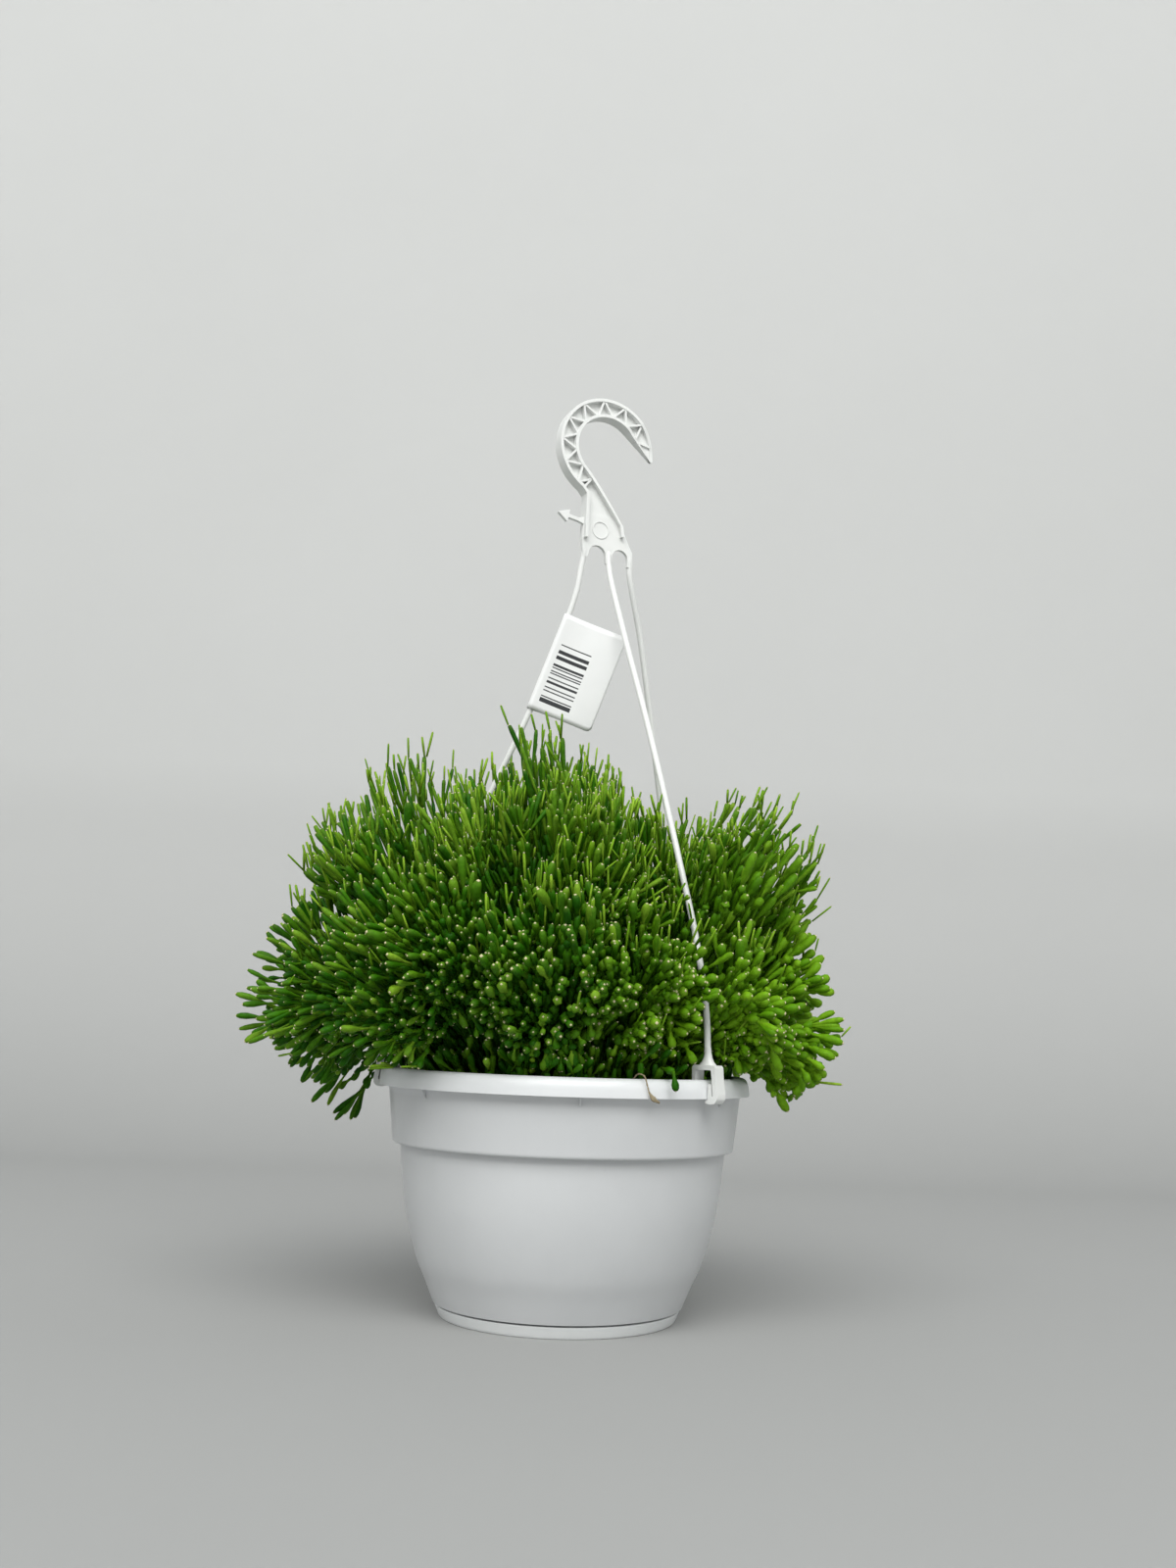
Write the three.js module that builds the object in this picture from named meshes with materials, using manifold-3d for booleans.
// A bottle-stemmed mistletoe cactus in a hanging pot, in millimetres, +Z up.
// The origin is on the pot's axis at the underside of its saucer; -Y is the side one looks at.
// A bushy mound of club-shaped stem joints grows out of a ribbed white pot with a snap-on saucer.
// A one-piece moulded hanger with three arms clips over the rim and carries a folded flag label.

import * as THREE from 'three';
import { mergeVertices } from 'three/addons/utils/BufferGeometryUtils.js';
import Module from 'manifold-3d';

const wasm = await Module();
wasm.setup();

// ---------------------------------------------------------------- driving dimensions

const FIT_GAP = 0.3;              // clearance between pieces that touch

// Pot: radii and heights of the outer wall
const POT_HEIGHT = 126.7;
const POT_WALL = 1.4;
const POT_SIDES = 30;
const RIM_TOP_RADIUS = 97.6;
const RIM_SKIRT_RADIUS = 100;
const RIM_SKIRT_HEIGHT = 9.4;
const BAND_TOP_RADIUS = 96;       // plain band under the rim
const BAND_LOW_RADIUS = 91.7;
const BAND_LOW_Z = 88.7;
const BELLY = [[87.4, 87.2], [83.1, 55], [76.1, 29.6], [70.8, 17.8], [66.2, 7.2]];
const FOOT_RADIUS = 61;
const FLOOR_Z = 5;
const RIB_COUNT = 7;              // stiffening ribs under the rim
const RIB_PHASE = -34;
const DRAIN_COUNT = 6;
const DRAIN_RADIUS = 3.5;
const DRAIN_CIRCLE = 36;

// Saucer that snaps round the pot's foot
const SAUCER_HEIGHT = 6.2;
const SAUCER_FLOOR = 1.6;
const SAUCER_TOP_RADIUS = 65.1;
const SAUCER_LOW_RADIUS = 63;

// Potting soil
const SOIL_TOP = 112;
const SOIL_CROWN = 2;             // height of its middle over its edge
const ROOT_DEPTH = 12;            // how deep the stems stand in it
const ROOT_HOLE_SIDES = 8;

// Hanger: hook and plate lie in one upright plane, turned about the vertical
const HOOK_PLACE = new THREE.Vector3(13, 4, 0);
const HOOK_TURN = THREE.MathUtils.degToRad(25);
const HOOK_DEPTH = 7.8;
const WEB_THICK = 1.5;
const FLANGE = 1.8;
const PLATE_THICK = 2.4;
const PLATE_FOOT_Z = 421;
const EYE = new THREE.Vector2(-2.6, 487.4);   // centre of the hook's bend
const EYE_RADIUS = 19.5;
const BEND_RADIUS = 30.9;
const RIB_TEETH = 8;              // zigzag ribs between the hook's two flanges
const RIB_THICK = 1.3;
const ARM_RADIUS = 1.7;
const ARM_SIDES = 6;
const CLIP_WIDTH = 7;
const CLIP_TOP = 134;
const CLIP_ARM_RADIUS = 97.5;     // where an arm meets its clip, from the pot's axis

// Each arm: its place along the plate, the compass angle of its clip, and its bow as
// [share of the way out, height] from the plate down to the clip
const ARMS = [
  { along: -14.7, angle: 172.6, bow: [[0.05, 396], [0.28, 331], [0.55, 269], [0.79, 212], [0.96, 160]] },
  { along: -0.6, angle: -43, bow: [[0.18, 373], [0.44, 313], [0.74, 237], [0.89, 196], [0.98, 160]] },
  { along: 12.7, angle: 46, bow: [[0.2, 380], [0.46, 318], [0.72, 250], [0.89, 200], [0.98, 160]] },
];

// Flag label folded round the first arm
const LABEL_TOP_Z = 385;
const LABEL_LENGTH = 59;
const LABEL_WIDTH = 36.5;
const LABEL_THICK = 0.7;
const LABEL_LOOP = 0.6;           // slack of its loop round the arm

// Plant: a mound of clumps over the pot. A place on it is given by its share of the lean from
// straight up (0) to the lowest stems (1) and its compass angle.
const MOUND_CENTRE_Z = 135;
const MOUND_LEAN = THREE.MathUtils.degToRad(98);
const FRONT_LIFT = THREE.MathUtils.degToRad(8);   // the front stems stop above the rim
const ROOT_SPREAD = 60;
const BEND_OUT = 0.55;            // where a stream bends: share of the way out, less for low ones
const BEND_OUT_LOW = 0.15;
const BEND_HEIGHT = 53;           // and its height over the soil, more for upright ones
const BEND_RISE = 35;
const REACH_BLEND = 20;           // how sharply the reach changes from clump to clump
const CLUMP_VALLEY = 0.08;        // how far the mound sinks between clumps
const PARTING_OUT = 0.21;         // the stems part in a furrow between the arms, this far out,
const PARTING_BEND = 0.45;        // bent outwards at its ends
const PARTING_WIDTH = 0.14;
const PARTING_DEPTH = 0.18;
const LOW_START = 0.8;            // stems that lean more than this are shorter,
const LOW_SHORT = 0.1;            // the lowest by this share
const CLUMP_SHARE = 0.95;         // share of its cell that a clump fills
const CORE_REACH = 0.82;          // share of the way out that a clump's dense core fills
const CORE_DOME = 0.06;           // how much less it fills at its edge
const FAN_SECTORS = 5;            // stems stand on the triangles of a fan: sectors by rings
const FAN_RINGS = 3;
const EDGE_COUNT = FAN_SECTORS * FAN_RINGS;
const FOOT_FILL = 0.42;           // share of a clump's cell that its foot in the soil fills
const WAIST_FILL = 0.94;          // and its waist, at this share of the way out
const WAIST_SHARE = 0.38;
const STEM_WIDTH = 6.4;
const STEM_NECK = 0.55;           // width of its neck, as a share
const TWIG_LEAN_LIMIT = 0.6;      // stems that lean less than this may carry a thin new shoot
const TWIG_EVERY = 4;
const TWIG_LENGTH = 13;
const TWIG_WIDTH = 2;
const ARM_ROOM = 1;               // free room round an arm where it passes through the plant

// Each clump: compass angle, lean, and reach from the mound's centre
const CLUMPS = [
  [160, 0.08, 177],
  [194, 0.39, 193], [262, 0.42, 160], [345, 0.38, 186], [42, 0.52, 164], [112, 0.42, 170],
  [188, 0.81, 178], [228, 0.82, 163], [263, 0.82, 151], [293, 0.83, 143], [335, 0.84, 151],
  [15, 0.84, 150], [62, 0.84, 152], [106, 0.84, 156], [146, 0.84, 166],
];

// ---------------------------------------------------------------- small tools

const TAU = Math.PI * 2;
const UP = new THREE.Vector3(0, 0, 1);
const rad = THREE.MathUtils.degToRad;

// seeded random number in [0, 1) for a pair of whole numbers
function chance(i, channel) {
  const wave = Math.sin(i * 12.9898 + channel * 78.233) * 43758.5453;
  return wave - Math.floor(wave);
}

// turns a closed three.js geometry into a solid for joining and cutting
function solid(geometry) {
  const bare = geometry.clone();
  bare.deleteAttribute('normal');
  bare.deleteAttribute('uv');
  const merged = mergeVertices(bare, 1e-4);
  const vertProperties = Float32Array.from(merged.attributes.position.array);
  const triVerts = Uint32Array.from(merged.index.array);
  return new wasm.Manifold(new wasm.Mesh({ numProp: 3, vertProperties, triVerts }));
}

function largest(body) {
  return body.decompose().sort((a, b) => b.volume() - a.volume())[0];
}

// back from a solid to a geometry, keeping its one large body
function geometryOf(body) {
  const mesh = largest(body).getMesh();
  const geometry = new THREE.BufferGeometry();
  geometry.setAttribute('position', new THREE.BufferAttribute(mesh.vertProperties, 3));
  geometry.setIndex(new THREE.BufferAttribute(mesh.triVerts, 1));
  geometry.computeVertexNormals();
  return geometry;
}

function join(bodies) {
  return bodies.reduce((all, body) => all.add(body));
}

// lathe about +Z from [radius, height] points that start and end on the axis or close on themselves
function turned(profile, sides) {
  const points = profile.map(([radius, z]) => new THREE.Vector2(radius, z));
  return new THREE.LatheGeometry(points, sides).rotateX(Math.PI / 2);
}

// plate of a shape drawn in (along, up), standing upright and centred on its own thickness
function upright(shape, thickness, curveSegments = 9) {
  const geometry = new THREE.ExtrudeGeometry(shape, { depth: thickness, bevelEnabled: false, curveSegments });
  return geometry.translate(0, 0, -thickness / 2).rotateX(Math.PI / 2);
}

function shapeOf(points) {
  return new THREE.Shape(points.map(([x, y]) => new THREE.Vector2(x, y)));
}

// closed skin through rings of equal point counts, with a flat end or an apex at the far end
function loft(rings, apex = null) {
  const n = rings[0].length;
  const points = rings.flat();
  const faces = [];
  for (let k = 0; k + 1 < rings.length; k++) {
    for (let i = 0; i < n; i++) {
      const a = k * n + i;
      const b = k * n + (i + 1) % n;
      faces.push(a, b, b + n, a, b + n, a + n);
    }
  }
  const last = (rings.length - 1) * n;
  for (let i = 1; i + 1 < n; i++) {
    faces.push(0, i + 1, i);
    if (!apex) faces.push(last, last + i, last + i + 1);
  }
  if (apex) {
    points.push(apex);
    for (let i = 0; i < n; i++) faces.push(last + i, last + (i + 1) % n, points.length - 1);
  }
  const geometry = new THREE.BufferGeometry().setFromPoints(points);
  geometry.setIndex(faces);
  return geometry;
}

// ---------------------------------------------------------------- pot and saucer

const skirtZ = POT_HEIGHT - RIM_SKIRT_HEIGHT;
const innerBelly = BELLY.filter((_, i) => i !== 3).map(([radius, z]) => [radius - POT_WALL, z + 0.6]);
const innerWall = [
  [BAND_TOP_RADIUS - POT_WALL, POT_HEIGHT],
  [BAND_LOW_RADIUS - POT_WALL, BAND_LOW_Z + 1.8],
  ...innerBelly,
  [FOOT_RADIUS - 1, FLOOR_Z + 1.6],
];

function potGeometry() {
  const profile = [
    [0, FLOOR_Z],
    [FOOT_RADIUS - 5, FLOOR_Z],
    [FOOT_RADIUS - 4, SAUCER_FLOOR + FIT_GAP],
    [FOOT_RADIUS, SAUCER_FLOOR + FIT_GAP],
    [FOOT_RADIUS + 1, SAUCER_HEIGHT + FIT_GAP],
    ...[...BELLY].reverse(),
    [BAND_LOW_RADIUS - 0.5, BAND_LOW_Z - 0.7],
    [BAND_LOW_RADIUS, BAND_LOW_Z + 0.3],
    [BAND_TOP_RADIUS - 0.2, POT_HEIGHT - 2],
    [RIM_SKIRT_RADIUS - POT_WALL, skirtZ],
    [RIM_SKIRT_RADIUS, skirtZ],
    [RIM_SKIRT_RADIUS - 0.1, skirtZ + RIM_SKIRT_HEIGHT * 0.5],
    [RIM_TOP_RADIUS + 1.3, POT_HEIGHT - 2.1],
    [RIM_TOP_RADIUS - 1, POT_HEIGHT - 0.2],
    [RIM_TOP_RADIUS - 2, POT_HEIGHT],
    ...innerWall,
    [0, FLOOR_Z + 1.6],
  ];
  let pot = solid(turned(profile, POT_SIDES));
  const ribShape = shapeOf([[93, 121], [98, 121], [98.4, 118.2], [96.8, 115], [93, 113.5]]);
  for (let i = 0; i < RIB_COUNT; i++) {
    const rib = upright(ribShape, 0.9).rotateZ(rad(RIB_PHASE - (360 / RIB_COUNT) * i));
    pot = pot.add(solid(rib));
  }
  for (let i = 0; i < DRAIN_COUNT; i++) {
    const angle = (TAU * i) / DRAIN_COUNT;
    const drain = new THREE.CylinderGeometry(DRAIN_RADIUS, DRAIN_RADIUS, 6, 10).rotateX(Math.PI / 2);
    drain.translate(DRAIN_CIRCLE * Math.cos(angle), DRAIN_CIRCLE * Math.sin(angle), FLOOR_Z + 1);
    pot = pot.subtract(solid(drain));
  }
  // the ribs must not reach through the wall into the pot
  const inside = solid(turned([[0, skirtZ - 20], ...[...innerWall].slice(0, 2).reverse().map(
    ([radius, z]) => [radius, Math.max(z, skirtZ - 20)]), [0, POT_HEIGHT]], POT_SIDES));
  return geometryOf(pot.subtract(inside));
}

function saucerGeometry() {
  return turned([
    [0, 0],
    [SAUCER_LOW_RADIUS - 1, 0],
    [SAUCER_LOW_RADIUS, 0.8],
    [SAUCER_TOP_RADIUS, SAUCER_HEIGHT - 0.4],
    [SAUCER_TOP_RADIUS - 0.4, SAUCER_HEIGHT],
    [FOOT_RADIUS + 1 + FIT_GAP * 1.5, SAUCER_HEIGHT],
    [FOOT_RADIUS + FIT_GAP * 1.5, SAUCER_FLOOR],
    [0, SAUCER_FLOOR],
  ], POT_SIDES);
}

// ---------------------------------------------------------------- plant: where stems run

const clumps = CLUMPS.map(([angle, lean, reach]) => ({
  x: lean * Math.cos(rad(angle)),
  y: lean * Math.sin(rad(angle)),
  reach,
}));

// distance from a clump's centre to the edge of its cell, along a direction in the lean disc
function cellEdge(clump, dx, dy) {
  const along = clump.x * dx + clump.y * dy;
  let edge = -along + Math.sqrt(along * along + 1 - clump.x ** 2 - clump.y ** 2);
  for (const other of clumps) {
    const ox = other.x - clump.x;
    const oy = other.y - clump.y;
    const facing = ox * dx + oy * dy;
    if (other !== clump && facing > 0) edge = Math.min(edge, (ox * ox + oy * oy) / (2 * facing));
  }
  return edge;
}

function clumpAt(x, y) {
  const distance = (clump) => Math.hypot(x - clump.x, y - clump.y);
  return clumps.reduce((best, clump) => (distance(clump) < distance(best) ? clump : best));
}

// how far the mound reaches from its centre: each clump's own reach, blended, less the valleys
// between clumps and the parting
function reachAt(x, y, clump) {
  let sum = 0;
  let weights = 0;
  for (const { x: cx, y: cy, reach } of clumps) {
    const weight = Math.exp(-REACH_BLEND * ((x - cx) ** 2 + (y - cy) ** 2));
    sum += weight * reach;
    weights += weight;
  }
  const away = Math.hypot(x - clump.x, y - clump.y);
  const edge = away > 1e-6 ? cellEdge(clump, (x - clump.x) / away, (y - clump.y) / away) : 1;
  const valley = CLUMP_VALLEY * Math.min(away / edge, 1) ** 2;
  const across = (x - PARTING_OUT - PARTING_BEND * y * y) / PARTING_WIDTH;
  const low = Math.max(0, Math.hypot(x, y) - LOW_START) / (1 - LOW_START);
  const parted = 1 - PARTING_DEPTH * Math.exp(-across * across);
  return (sum / weights) * (1 - valley) * parted * (1 - LOW_SHORT * low * low);
}

// place on the stream that runs from the soil to the mound's surface at (x, y) of the lean disc
function streamPoint(x, y, share, clump = clumpAt(x, y)) {
  const lean = Math.min(Math.hypot(x, y), 1);
  const angle = Math.atan2(y, x);
  const front = Math.max(0, -Math.sin(angle)) ** 2;
  const tilt = lean * (MOUND_LEAN - FRONT_LIFT * front);
  const reach = reachAt(x, y, clump);
  const rootRadius = ROOT_SPREAD * lean ** 0.8;
  const tipRadius = reach * Math.sin(tilt);
  const tipZ = MOUND_CENTRE_Z + reach * Math.cos(tilt);
  const bendRadius = rootRadius + (BEND_OUT - BEND_OUT_LOW * lean) * (tipRadius - rootRadius);
  const bendZ = SOIL_TOP + BEND_HEIGHT + BEND_RISE * Math.cos(tilt) ** 2;
  const a = (1 - share) ** 2;
  const b = 2 * share * (1 - share);
  const c = share ** 2;
  const radius = a * rootRadius + b * bendRadius + c * tipRadius;
  return new THREE.Vector3(
    radius * Math.cos(angle),
    radius * Math.sin(angle),
    a * SOIL_TOP + b * bendZ + c * tipZ,
  );
}

// ---------------------------------------------------------------- hanger: where it runs

const hookAlong = new THREE.Vector3(Math.cos(HOOK_TURN), Math.sin(HOOK_TURN), 0);

function armCurve({ along, angle, bow }) {
  const root = HOOK_PLACE.clone().addScaledVector(hookAlong, along);
  const clip = new THREE.Vector3(CLIP_ARM_RADIUS, 0, 0).applyAxisAngle(UP, rad(angle));
  const at = (share, z) => root.clone().lerp(clip, share).setZ(z);
  return new THREE.CatmullRomCurve3([
    at(0, PLATE_FOOT_Z + 5),
    at(0, PLATE_FOOT_Z - 8),
    ...bow.map(([share, z]) => at(share, z)),
    at(1, CLIP_TOP - 1),
  ]);
}

const armCurves = ARMS.map(armCurve);

// ---------------------------------------------------------------- label

// the sheet is drawn across the arm as a loop with a flag and run along the arm
function labelGeometry() {
  const loop = ARM_RADIUS + LABEL_LOOP;
  const half = LABEL_THICK / 2;
  const outer = loop + LABEL_THICK;
  const start = Math.asin(half / outer);
  const shape = new THREE.Shape();
  shape.moveTo(LABEL_WIDTH, -half);
  shape.lineTo(LABEL_WIDTH, half);
  shape.absarc(0, 0, outer, start, TAU - start, false);
  const hole = new THREE.Path();
  hole.absarc(0, 0, loop, 0, TAU, true);
  shape.holes.push(hole);
  return new THREE.ExtrudeGeometry(shape, { depth: LABEL_LENGTH, bevelEnabled: false, curveSegments: 7 });
}

// where the label sits: its length runs down the first arm
function labelMatrix() {
  const places = armCurves[0].getPoints(200);
  const placeAt = (z) => places.reduce((best, p) => (Math.abs(p.z - z) < Math.abs(best.z - z) ? p : best));
  const top = placeAt(LABEL_TOP_Z);
  const low = placeAt(LABEL_TOP_Z - LABEL_LENGTH * 0.93);
  const down = low.clone().sub(top).normalize();
  const across = new THREE.Vector3(1, 0.03, 0).addScaledVector(down, -down.x).normalize();
  const thick = new THREE.Vector3().crossVectors(down, across);
  return new THREE.Matrix4().makeBasis(across, thick, down).setPosition(top);
}

const labelBody = solid(labelGeometry().applyMatrix4(labelMatrix()));

// ---------------------------------------------------------------- plant: solids

// room that stems must leave: points along the arms and clips with their radii
const obstacles = armCurves.flatMap((curve) => curve.getPoints(90).map((place) => {
  const flare = place.z < CLIP_TOP + 10 ? 5 : 0;
  return { place, radius: ARM_RADIUS + flare };
}));

function blocked(from, to, width) {
  const line = new THREE.Line3(from, to);
  const nearest = new THREE.Vector3();
  return obstacles.some(({ place, radius }) => {
    line.closestPointToPoint(place, true, nearest);
    return nearest.distanceTo(place) < radius + ARM_ROOM + width / 2;
  });
}

// place in a clump: a direction round its middle, a share of the way to its edge, and a share of
// the way from the soil to the mound's surface
function clumpPoint(clump, angle, fill, share) {
  const dx = Math.cos(angle);
  const dy = Math.sin(angle);
  const away = cellEdge(clump, dx, dy) * CLUMP_SHARE * fill;
  return streamPoint(clump.x + dx * away, clump.y + dy * away, share, clump);
}

// triangles of a fan of rings round a middle point, as [ring, place on the ring] corners
function fanTriangles() {
  const triangles = [];
  for (let sector = 0; sector < FAN_SECTORS; sector++) {
    for (let ring = 1; ring <= FAN_RINGS; ring++) {
      for (let j = 0; j < ring; j++) {
        const inner = [ring - 1, sector * (ring - 1) + j];
        const outer = [ring, sector * ring + j];
        const next = [ring, sector * ring + j + 1];
        triangles.push([inner, outer, next]);
        if (j + 1 < ring) triangles.push([inner, next, [ring - 1, inner[1] + 1]]);
      }
    }
  }
  return triangles;
}

// corner of the fan as its direction and its share of the way to the clump's edge
function fanCorner([ring, place]) {
  return { angle: ring === 0 ? 0 : (TAU * place) / (FAN_SECTORS * ring), fill: ring / FAN_RINGS };
}

// club-shaped stem on a triangle of the core: narrow neck, widest near its end, and on some of
// the upper ones a thin new shoot; points and faces are added to the clump's skin
function stemRings(corners, tip, width, shoot) {
  const middle = corners.reduce((sum, p) => sum.add(p), new THREE.Vector3()).divideScalar(3);
  const axis = tip.clone().sub(middle);
  const heading = axis.clone().normalize();
  const spokes = corners.map((p) => {
    const spoke = p.clone().sub(middle);
    return spoke.addScaledVector(heading, -spoke.dot(heading)).normalize();
  });
  const ring = (share, size) => spokes.map((spoke) => middle.clone()
    .addScaledVector(axis, share)
    .addScaledVector(spoke, (size * width) / 2));
  const rings = [corners, ring(0.4, STEM_NECK), ring(0.8, 1)];
  if (!shoot) return { rings, apex: tip };
  rings.push(ring(1, TWIG_WIDTH / width));
  return { rings, apex: tip.clone().add(shoot) };
}

// new shoots point upwards, each a little aside
function shootOf(seed) {
  return new THREE.Vector3(chance(seed, 31) - 0.5, chance(seed, 32) - 0.5, 2.4).setLength(TWIG_LENGTH);
}

// ring round a clump, at a share of the way to its edge and of the way out
function clumpRing(clump, fill, share) {
  return Array.from({ length: EDGE_COUNT }, (_, k) => clumpPoint(clump, (TAU * k) / EDGE_COUNT, fill, share));
}

// closed skin of a clump: its foot in the soil, its side, and its dome with the given stems
function clumpSkin(clump, stems) {
  const skin = [];
  const band = (low, high) => low.forEach((p, k) => {
    const next = (k + 1) % low.length;
    skin.push([p, low[next], high[next]], [p, high[next], high[k]]);
  });
  const foot = clumpRing(clump, FOOT_FILL, 0).map((p) => p.setZ(SOIL_TOP - ROOT_DEPTH));
  const ground = clumpRing(clump, FOOT_FILL, 0).map((p) => p.setZ(SOIL_TOP + SOIL_CROWN + 1));
  const waist = clumpRing(clump, WAIST_FILL, WAIST_SHARE);
  const edge = clumpRing(clump, 1, CORE_REACH - CORE_DOME);
  for (let k = 1; k + 1 < EDGE_COUNT; k++) skin.push([foot[0], foot[k + 1], foot[k]]);
  band(foot, ground);
  band(ground, waist);
  band(waist, edge);
  for (const { corners, stem } of stems) {
    if (!stem) {
      skin.push(corners);
      continue;
    }
    stem.rings.slice(1).forEach((ring, k) => band(stem.rings[k], ring));
    const last = stem.rings[stem.rings.length - 1];
    last.forEach((p, k) => skin.push([p, last[(k + 1) % 3], stem.apex]));
  }
  return new THREE.BufferGeometry().setFromPoints(skin.flat());
}

function stemSites(clump) {
  return fanTriangles().map((triangle, k) => {
    const places = triangle.map(fanCorner);
    const domeShare = (fill) => CORE_REACH - CORE_DOME * fill;
    const corners = places.map(({ angle, fill }) => clumpPoint(clump, angle, fill, domeShare(fill)));
    const seed = clumps.indexOf(clump) * 100 + k;
    const out = places.map(({ angle, fill }) => {
      const away = cellEdge(clump, Math.cos(angle), Math.sin(angle)) * CLUMP_SHARE * fill;
      return new THREE.Vector2(clump.x + away * Math.cos(angle), clump.y + away * Math.sin(angle));
    });
    const middle = out.reduce((sum, p) => sum.add(p), new THREE.Vector2()).divideScalar(3);
    const tip = streamPoint(middle.x, middle.y, 0.96 + 0.08 * chance(seed, 41), clump);
    const shoot = middle.length() < TWIG_LEAN_LIMIT && seed % TWIG_EVERY === 0 ? shootOf(seed) : null;
    const width = STEM_WIDTH * (0.85 + 0.3 * chance(seed, 42));
    return { corners, tip, width, shoot };
  });
}

// space that the plant leaves round the hanger's arms and clips
const hangerRoom = join(ARMS.flatMap(({ angle }, i) => {
  const clip = new THREE.BoxGeometry(18.5, CLIP_WIDTH + 2 * ARM_ROOM, 34);
  clip.translate(CLIP_ARM_RADIUS + 0.8, 0, CLIP_TOP - 7).rotateZ(rad(angle));
  const arm = new THREE.ExtrudeGeometry(
    roundShape(ARM_RADIUS + ARM_ROOM, ARM_SIDES),
    { steps: 24, bevelEnabled: false, extrudePath: armCurves[i] },
  );
  return [solid(clip), solid(arm)];
}));

const bareBodies = clumps.map((clump) => solid(clumpSkin(clump, stemSites(clump))));
const grownBodies = [];

// whether a stem would touch the label, another clump's core or a clump that is already grown
function crowded(room, clump) {
  const others = bareBodies.filter((_, i) => clumps[i] !== clump);
  return [labelBody, ...others, ...grownBodies].some((other) => other.intersect(room).volume() > 0);
}

function clumpGeometry(clump) {
  const stems = stemSites(clump).map(({ corners, tip, width, shoot }) => {
    const stem = stemRings(corners, tip, width, shoot);
    const room = stemRings(corners, tip, width + 2 * FIT_GAP, shoot);
    const end = shoot ? tip.clone().add(shoot) : tip;
    const free = !blocked(corners[0], end, width) && !crowded(solid(loft(room.rings, room.apex)), clump);
    return { corners, stem: free ? stem : null };
  });
  const whole = largest(solid(clumpSkin(clump, stems)).subtract(hangerRoom));
  grownBodies.push(whole);
  return geometryOf(whole);
}

// ---------------------------------------------------------------- soil

function rootHole(clump) {
  const foot = clumpRing(clump, FOOT_FILL, 0);
  const centre = foot.reduce((sum, point) => sum.add(point), new THREE.Vector3()).divideScalar(foot.length);
  const reach = Math.max(...foot.map((point) => point.distanceTo(centre)));
  const radius = reach / Math.cos(Math.PI / ROOT_HOLE_SIDES) + FIT_GAP;
  const depth = ROOT_DEPTH + FIT_GAP;
  const hole = new THREE.CylinderGeometry(radius, radius, depth + 10, ROOT_HOLE_SIDES).rotateX(Math.PI / 2);
  return hole.translate(centre.x, centre.y, SOIL_TOP - depth + (depth + 10) / 2);
}

function soilGeometry() {
  const inset = innerWall.map(([radius, z]) => [radius - FIT_GAP * 1.2, z]);
  const [top, low, ...belly] = inset;
  const share = (SOIL_TOP - low[1]) / (top[1] - low[1]);
  const edge = low[0] + share * (top[0] - low[0]);
  const floor = FLOOR_Z + 1.6 + FIT_GAP;
  const profile = [
    [0, floor],
    [FOOT_RADIUS - 2, floor],
    belly[1],
    belly[0],
    low,
    [edge, SOIL_TOP],
    [edge * 0.6, SOIL_TOP + SOIL_CROWN * 0.8],
    [0, SOIL_TOP + SOIL_CROWN],
  ];
  const soil = solid(turned(profile, POT_SIDES));
  return geometryOf(clumps.reduce((left, clump) => left.subtract(solid(rootHole(clump))), soil));
}

// ---------------------------------------------------------------- hanger: solids

function roundShape(radius, sides) {
  return shapeOf(Array.from({ length: sides }, (_, i) => {
    const angle = (TAU * (i + 0.5)) / sides;
    return [radius * Math.cos(angle), radius * Math.sin(angle)];
  }));
}

// outline of hook and neck, drawn a given distance inside their true edge
function hookShape(inset, neckFootZ, tipAngle) {
  const outer = BEND_RADIUS - inset;
  const inner = EYE_RADIUS + inset;
  const shape = new THREE.Shape();
  shape.moveTo(-15.6 + inset, neckFootZ);
  shape.lineTo(-15.6 + inset, 457.5 + inset * 0.5);
  shape.absarc(EYE.x, EYE.y, outer, rad(239), rad(tipAngle), true);
  if (inset === 0) shape.lineTo(27.6, 483.2);
  shape.absarc(EYE.x, EYE.y, inner, rad(38), rad(222), false);
  shape.quadraticCurveTo(-9.5 - inset * 0.7, 467.4 - inset * 0.7, 8.6 - inset, 441.5);
  shape.lineTo(9.7 - inset, neckFootZ - (inset === 0 ? 4 : 0));
  return shape;
}

function plateShape() {
  const shape = new THREE.Shape();
  shape.moveTo(-16.2, PLATE_FOOT_Z);
  shape.absarc(-7.9, PLATE_FOOT_Z + 1.4, 5.1, rad(180), rad(0), true);
  shape.lineTo(-2.6, PLATE_FOOT_Z);
  shape.lineTo(1.4, PLATE_FOOT_Z);
  shape.absarc(6.3, PLATE_FOOT_Z + 1.8, 4.8, rad(180), rad(0), true);
  shape.lineTo(11.2, PLATE_FOOT_Z);
  shape.lineTo(14.3, PLATE_FOOT_Z);
  shape.lineTo(13.9, 428);
  shape.lineTo(12.2, 433);
  shape.lineTo(7, 446);
  shape.lineTo(-15.2, 446);
  shape.lineTo(-16.2, 434);
  return shape;
}

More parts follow.
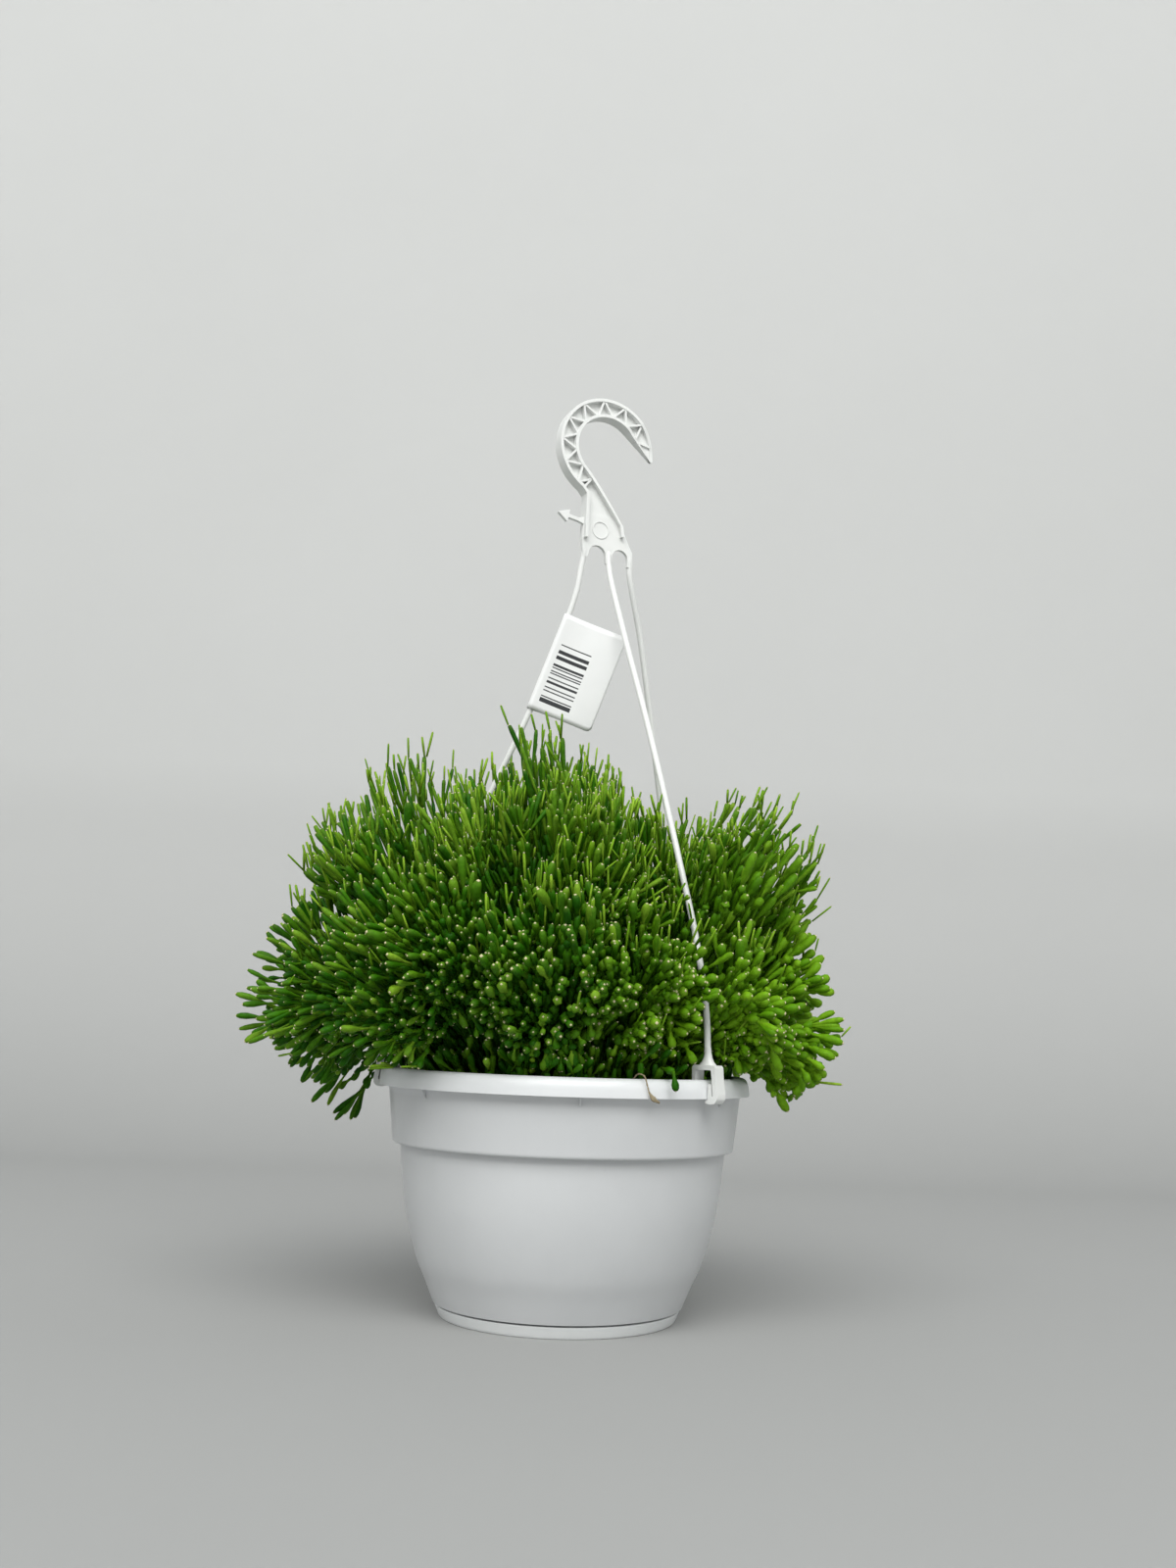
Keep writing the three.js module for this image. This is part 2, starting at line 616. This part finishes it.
// zigzag ribs between the outer and the inner flange of the hook, and a last pair in its neck
function zigzagRibs() {
  const from = rad(232.4);
  const step = rad(13.58);
  const corners = [[-17.4, 461], [-12.9, 466.5]].map(([along, z]) => new THREE.Vector2(along, z));
  for (let k = 0; k <= 2 * RIB_TEETH; k++) {
    const radius = k % 2 === 0 ? BEND_RADIUS - 1 : EYE_RADIUS + 1;
    const spoke = new THREE.Vector2(radius, 0).rotateAround(new THREE.Vector2(), from - k * step);
    corners.push(EYE.clone().add(spoke));
  }
  return corners.slice(1).map((b, k) => {
    const a = corners[k];
    const side = b.clone().sub(a).setLength(RIB_THICK / 2).rotateAround(new THREE.Vector2(), Math.PI / 2);
    const outline = [a.clone().add(side), a.clone().sub(side), b.clone().sub(side), b.clone().add(side)];
    return upright(new THREE.Shape(outline), HOOK_DEPTH - 1.6);
  });
}

// arrow-shaped barb beside the neck, for a card tag
function barbShape() {
  return shapeOf([[-14.5, 439], [-19.5, 440.6], [-25.6, 441.6], [-26.4, 439], [-32.2, 444],
    [-24.8, 446.4], [-25.2, 443.6], [-19.5, 442.6], [-14.5, 443.6]]);
}

// clip over the rim, drawn in (radius, height): an inner leg, a bridge, and an outer leg that
// turns back up as a spring against the skirt, with a toe under it
function clipGeometry(angle) {
  const shape = shapeOf([
    [90.2, CLIP_TOP - 0.9], [90.4, skirtZ + 1.2], [92.3, skirtZ + 1.2], [92.5, CLIP_TOP - 2.4],
    [102, CLIP_TOP - 2.4], [102.6, 127], [103.6, skirtZ + 1.8], [102.7, skirtZ + 1.2], [102.1, 124.6],
    [100.5, 125], [100.4, skirtZ - FIT_GAP], [98.8, skirtZ - FIT_GAP], [98.6, skirtZ - 1.8],
    [102.2, skirtZ - 2.4], [104.6, skirtZ - 1.8], [106.1, skirtZ], [106.2, skirtZ + 2.4],
    [105, 127.5], [104.6, CLIP_TOP - 1], [103.6, CLIP_TOP], [91.3, CLIP_TOP],
  ]);
  return upright(shape, CLIP_WIDTH).rotateZ(rad(angle));
}

function hangerGeometry() {
  const pocketDepth = (HOOK_DEPTH - WEB_THICK) / 2;
  let hook = solid(upright(hookShape(0, 439, -6), HOOK_DEPTH));
  const pocket = upright(hookShape(FLANGE, 430, 8), pocketDepth + 1);
  const offset = WEB_THICK / 2 + (pocketDepth + 1) / 2;
  for (const side of [-1, 1]) hook = hook.subtract(solid(pocket.clone().translate(0, side * offset, 0)));
  const emblem = upright(roundShape(5.2, 16), WEB_THICK + 2 * 1.2).translate(-4.9, 0, 437.5);
  const flat = [plateShape(), barbShape()].map((shape) => upright(shape, PLATE_THICK));
  const pieces = [...zigzagRibs(), ...flat, emblem].map(solid);
  const place = new THREE.Matrix4().makeRotationZ(HOOK_TURN).setPosition(HOOK_PLACE);
  const head = solid(geometryOf(join([hook, ...pieces])).applyMatrix4(place));
  const arms = armCurves.map((curve) => solid(new THREE.ExtrudeGeometry(
    roundShape(ARM_RADIUS, ARM_SIDES),
    { steps: 12, bevelEnabled: false, extrudePath: curve },
  )));
  const feet = ARMS.flatMap(({ angle }) => {
    const flare = new THREE.CylinderGeometry(1.5, 3.4, 8.4, ARM_SIDES).rotateX(Math.PI / 2).scale(1.4, 1, 1);
    flare.translate(CLIP_ARM_RADIUS, 0, CLIP_TOP + 3.8).rotateZ(rad(angle));
    return [solid(flare), solid(clipGeometry(angle))];
  });
  return geometryOf(join([head, ...arms, ...feet]));
}

// ---------------------------------------------------------------- materials and assembly

function material(color, roughness) {
  return new THREE.MeshStandardMaterial({ color, roughness, metalness: 0 });
}

const whitePlastic = () => material(0xdfe2e1, 0.38);
const brightPlastic = () => material(0xf1f2f0, 0.35);
const stemGreen = () => material(0x3f7f1c, 0.45);

function part(name, geometry, finish) {
  const mesh = new THREE.Mesh(geometry, finish);
  mesh.name = name;
  return mesh;
}

const cactus = new THREE.Group();
const label = part('label', labelGeometry(), material(0xf6f6f4, 0.5));
label.applyMatrix4(labelMatrix());
cactus.add(
  part('saucer', saucerGeometry(), brightPlastic()),
  part('pot', potGeometry(), whitePlastic()),
  part('soil', soilGeometry(), material(0x2b2019, 0.95)),
  part('hanger', hangerGeometry(), brightPlastic()),
  label,
);
clumps.forEach((clump, i) => {
  const name = `stem_clump_${String(i + 1).padStart(2, '0')}`;
  cactus.add(part(name, clumpGeometry(clump), stemGreen()));
});

export default cactus;
